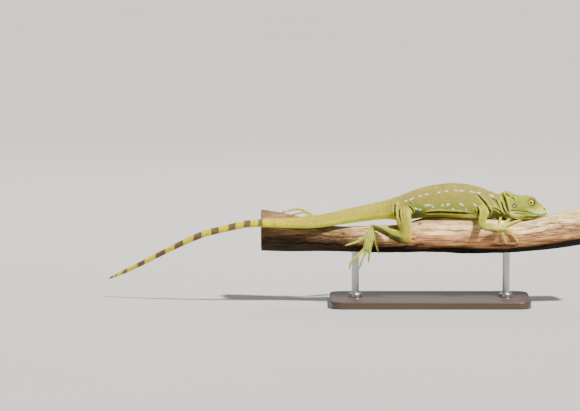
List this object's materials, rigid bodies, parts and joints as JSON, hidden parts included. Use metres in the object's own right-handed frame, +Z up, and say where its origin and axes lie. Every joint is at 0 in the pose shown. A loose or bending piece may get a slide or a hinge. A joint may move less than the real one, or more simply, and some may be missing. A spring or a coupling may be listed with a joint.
{
  "type": "green basilisk",
  "caption": "Life-size green basilisk lizard lying along a cut length of bleached branch, its feet hanging over the side, held by a plain flat base and short rods.",
  "frame": {"origin": "middle of the display base's underside, on the floor", "axes": "+X towards the lizard's snout along the branch, +Y to the lizard's left, +Z up"},
  "size_m": [0.5352, 0.1116, 0.1339],
  "materials": {
    "body_skin": "fine dry scales",
    "head_skin": "smooth plates and fine scales",
    "leg_skin": "fine dry scales",
    "tail_skin": "fine keeled scales, banded",
    "eye": "wet, glossy",
    "bark": "bleached and weathered",
    "board": "dark stained, satin",
    "rod": "satin"
  },
  "bodies": {
    "root": {"head": "head_skin", "lower_jaw": "head_skin", "neck": "body_skin", "chest": "body_skin", "belly": "body_skin", "pelvis": "body_skin", "tail_1": "tail_skin", "tail_2": "tail_skin", "tail_3": "tail_skin", "tail_4": "tail_skin", "tail_5": "tail_skin", "eye_right": "eye", "eye_left": "eye", "upper_arm_right": "leg_skin", "forearm_right": "leg_skin", "hand_right": "leg_skin", "thigh_right": "leg_skin", "shin_right": "leg_skin", "foot_right": "leg_skin", "upper_arm_left": "leg_skin", "forearm_left": "leg_skin", "hand_left": "leg_skin", "thigh_left": "leg_skin", "shin_left": "leg_skin", "foot_left": "leg_skin", "branch": "bark", "stand_base": "board", "stand_rod_rear": "rod", "stand_rod_front": "rod"}
  },
  "joints": []
}
